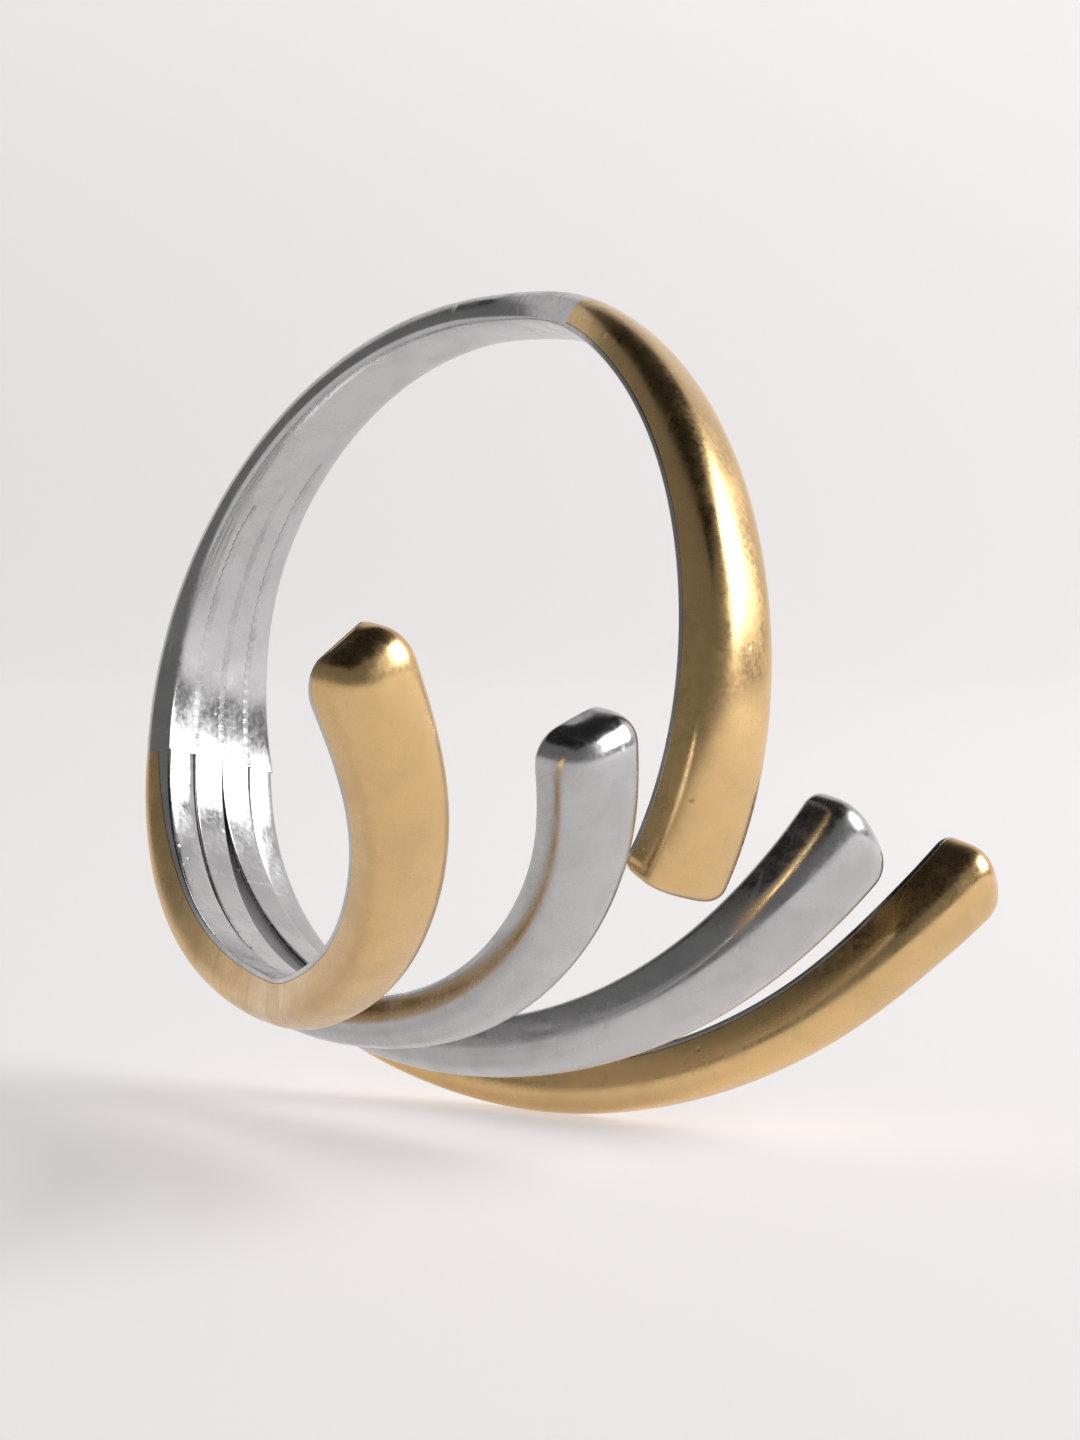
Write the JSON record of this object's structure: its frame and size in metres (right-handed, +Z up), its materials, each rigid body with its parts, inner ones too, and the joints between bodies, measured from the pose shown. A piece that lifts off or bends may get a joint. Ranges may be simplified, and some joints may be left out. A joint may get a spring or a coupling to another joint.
{
  "type": "open cuff with spread fingers",
  "caption": "Open two-tone cuff standing on edge: a silver band that splits into spread gold and silver fingers, facing one gold arm.",
  "frame": {"origin": "on the floor, under the middle of the cuff's bounding box as it stands", "axes": "+Z up as it stands, +Y away from the viewer along the opening's axis seen from above, +X to the side of the open gap; the opening's axis leans down 13.5 degrees towards +Y"},
  "size_m": [0.0618, 0.0706, 0.0614],
  "materials": {
    "gold": "polished gold plating with fine scratches",
    "silver": "polished silver with fine scratches and worn pits",
    "solder": "dull pitted solder"
  },
  "bodies": {
    "root": {"shank": "silver", "arm_shell": "gold", "arm_liner": "silver", "finger_1_shell": "gold", "finger_1_liner": "silver", "finger_2": "silver", "finger_3": "silver", "finger_4_shell": "gold", "finger_4_liner": "silver", "solder_seam_1": "solder", "solder_seam_2": "solder", "solder_seam_3": "solder"}
  },
  "joints": []
}
